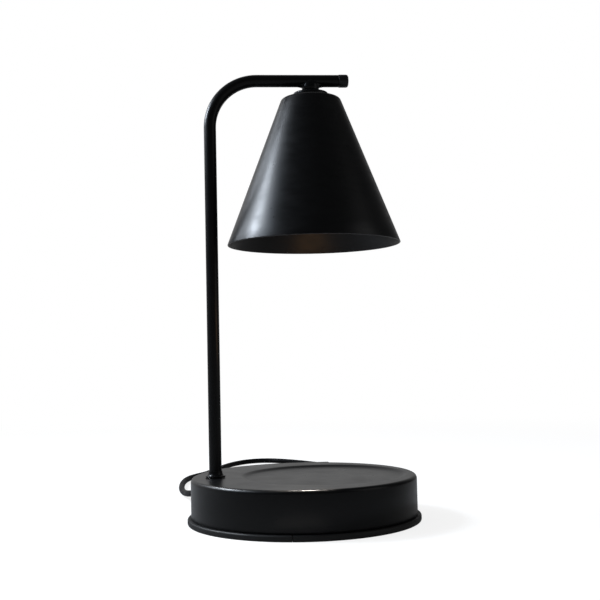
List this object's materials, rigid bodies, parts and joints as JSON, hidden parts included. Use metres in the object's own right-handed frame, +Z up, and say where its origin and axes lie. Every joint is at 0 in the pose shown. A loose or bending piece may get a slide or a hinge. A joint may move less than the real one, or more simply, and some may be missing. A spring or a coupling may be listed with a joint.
{
  "type": "candle warmer lamp",
  "caption": "Table lamp with a round weighted base, a bent tube arm and a cone shade on a ball swivel, holding a halogen spot over a candle to melt its wax from above.",
  "frame": {"origin": "on the table, under the middle of the round base", "axes": "+Z up; +X from the post towards the free end of the arm; +Y to the back, where the lead leaves"},
  "size_m": [0.1845, 0.4358, 0.309],
  "materials": {
    "black_paint": "satin black powder coat",
    "black_rubber": "matt black rubber",
    "cord_jacket": "black flexible jacket, semi gloss",
    "black_plastic": "fine-grained black moulding",
    "zinc_steel": "zinc plated",
    "cast_ballast": "bare casting",
    "ceramic_white": "unglazed white",
    "reflector_mirror": "faceted mirror coat on glass",
    "clear_glass": "clear",
    "plug_brass": "stamped brass",
    "board_green": "coated circuit board",
    "live_brown": "wire insulation",
    "neutral_blue": "wire insulation"
  },
  "bodies": {
    "root": {"base_shell": "black_paint", "base_plate": "black_paint", "post_tube": "black_paint", "post_collar": "black_paint", "swivel_ball_top": "black_paint", "swivel_ball_bottom": "black_paint", "edge_trim": "black_rubber", "cord_bush": "black_rubber", "cord_jacket_inside": "cord_jacket", "cord_run": "cord_jacket", "cord_link": "cord_jacket", "cord_coil": "cord_jacket", "cord_tail": "cord_jacket", "arm_end_cap": "black_plastic", "cord_clamp": "black_plastic", "dimmer_bottom": "black_plastic", "dimmer_top": "black_plastic", "dimmer_pot": "black_plastic", "plug_body": "black_plastic", "plate_screw_1": "zinc_steel", "plate_screw_2": "zinc_steel", "plate_screw_3": "zinc_steel", "ballast_screw_1": "zinc_steel", "ballast_screw_2": "zinc_steel", "terminal_block_screw": "zinc_steel", "cord_clamp_screw": "zinc_steel", "post_lock_washer": "zinc_steel", "post_nut": "zinc_steel", "dimmer_screw_1": "zinc_steel", "dimmer_screw_2": "zinc_steel", "ballast_weight": "cast_ballast", "terminal_block": "ceramic_white", "plug_blade_1": "plug_brass", "plug_blade_2": "plug_brass", "dimmer_board": "board_green", "mains_lead_live": "live_brown", "arm_lead_live": "live_brown", "mains_lead_neutral": "neutral_blue", "arm_lead_neutral": "neutral_blue"},
    "swivel": {"swivel_stud": "zinc_steel", "swivel_washer": "zinc_steel", "swivel_nut": "zinc_steel"},
    "head": {"shade_cap": "black_paint", "shade": "black_paint", "shade_ring_nut": "zinc_steel", "holder_bracket": "zinc_steel", "bracket_screw_1": "zinc_steel", "bracket_screw_2": "zinc_steel", "lamp_holder": "ceramic_white", "head_lead_live": "live_brown", "head_lead_neutral": "neutral_blue"},
    "bulb": {"bulb_base": "ceramic_white", "bulb_pin_1": "zinc_steel", "bulb_pin_2": "zinc_steel", "bulb_reflector": "reflector_mirror", "bulb_capsule": "clear_glass", "bulb_lens": "clear_glass"},
    "dial": {"dimmer_dial": "black_plastic"}
  },
  "joints": [
    {"name": "head_tilt", "type": "hinge", "parent": "root", "child": "swivel", "pos_m": [0.0106, 0, 0.3002], "axis": [1, 0, 0], "range_deg": [-20, 20]},
    {"name": "head_spin", "type": "hinge", "parent": "swivel", "child": "head", "pos_m": [0.0106, 0, 0.3002], "axis": [0, 0, 1], "range_deg": [-170, 170]},
    {"name": "bulb_twist", "type": "hinge", "parent": "head", "child": "bulb", "pos_m": [0.0106, 0, 0.3002], "axis": [0, 0, 1], "range_deg": [-20, 0]},
    {"name": "dial_turn", "type": "hinge", "parent": "root", "child": "dial", "pos_m": [0.016, 0.108, 0.017], "axis": [0, 0, 1], "range_deg": [0, 270]}
  ]
}
